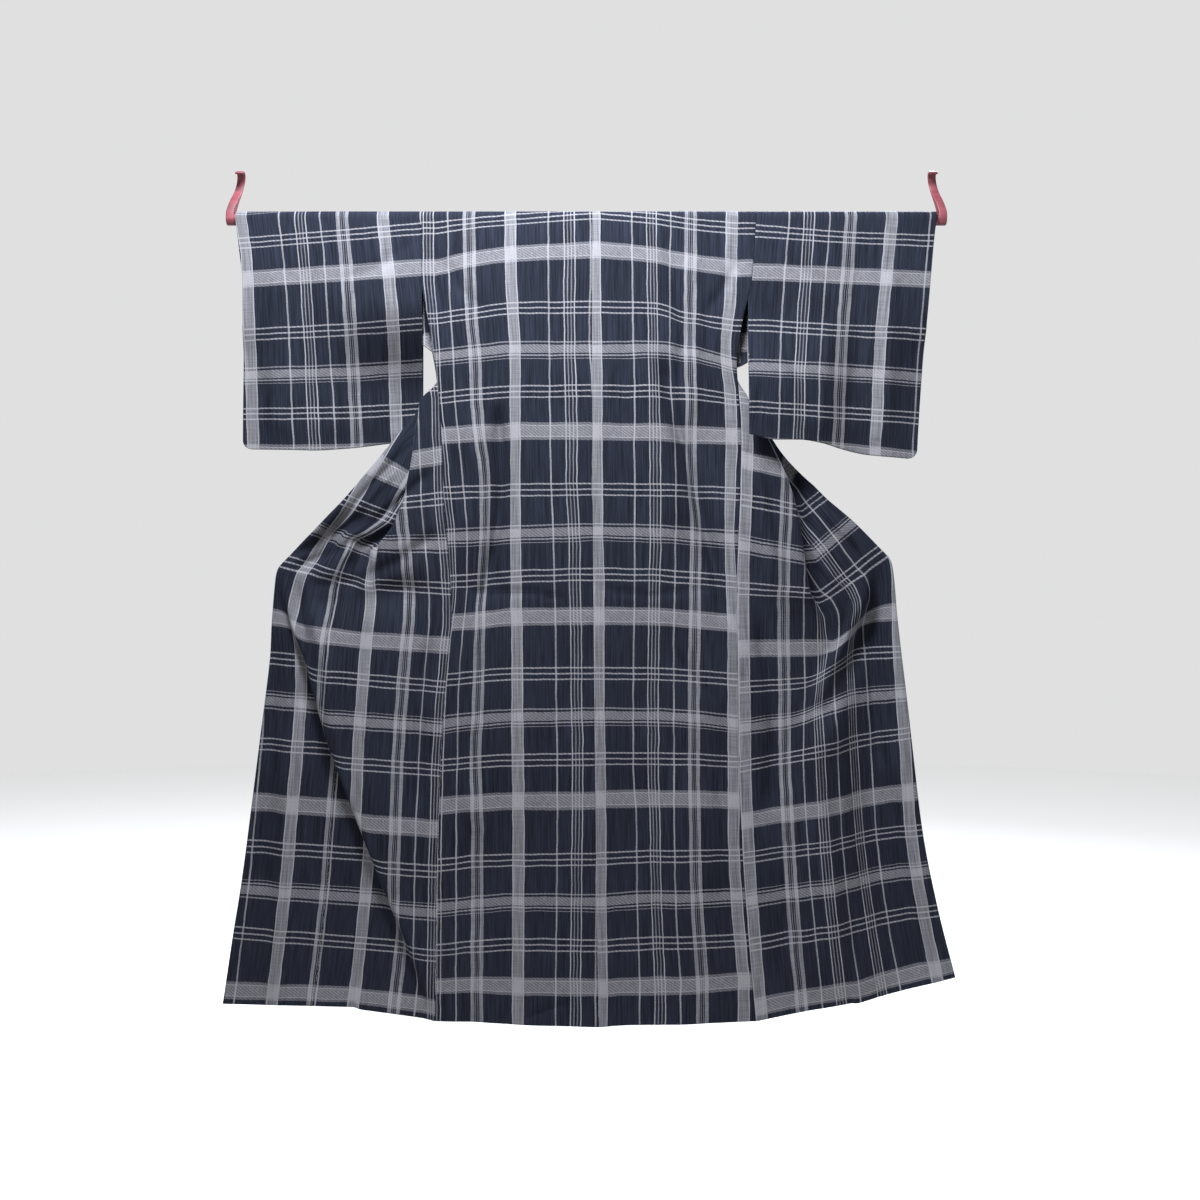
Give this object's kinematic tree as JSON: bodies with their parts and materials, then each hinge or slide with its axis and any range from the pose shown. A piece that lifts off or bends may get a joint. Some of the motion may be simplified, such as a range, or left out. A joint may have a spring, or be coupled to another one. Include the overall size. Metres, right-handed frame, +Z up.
{
  "type": "denim kimono hung on a rail by its hanger rod's two hooked arms",
  "caption": "Spread denim kimono with a woven check, hung by its shoulders on a wooden rod with hooked arms, its fronts drawn out to the sides.",
  "frame": {"origin": "on the axis of the rail that the two hanger arms hook over, midway between them", "axes": "+Z up, -Y out of the garment's back, +Y out of its front, +X to the right of a person who looks at its back"},
  "size_m": [1.468, 0.1145, 1.7068],
  "materials": {
    "denim": "matt indigo cotton denim with a woven grey-lavender check",
    "red_wood": "red stain, satin varnish"
  },
  "bodies": {
    "root": {"body_left": "denim", "body_right": "denim", "okumi_left": "denim", "okumi_right": "denim", "sleeve_left": "denim", "sleeve_right": "denim", "collar": "denim", "hanger_rod": "red_wood", "hanger_arm_left": "red_wood", "hanger_arm_right": "red_wood"}
  },
  "joints": []
}
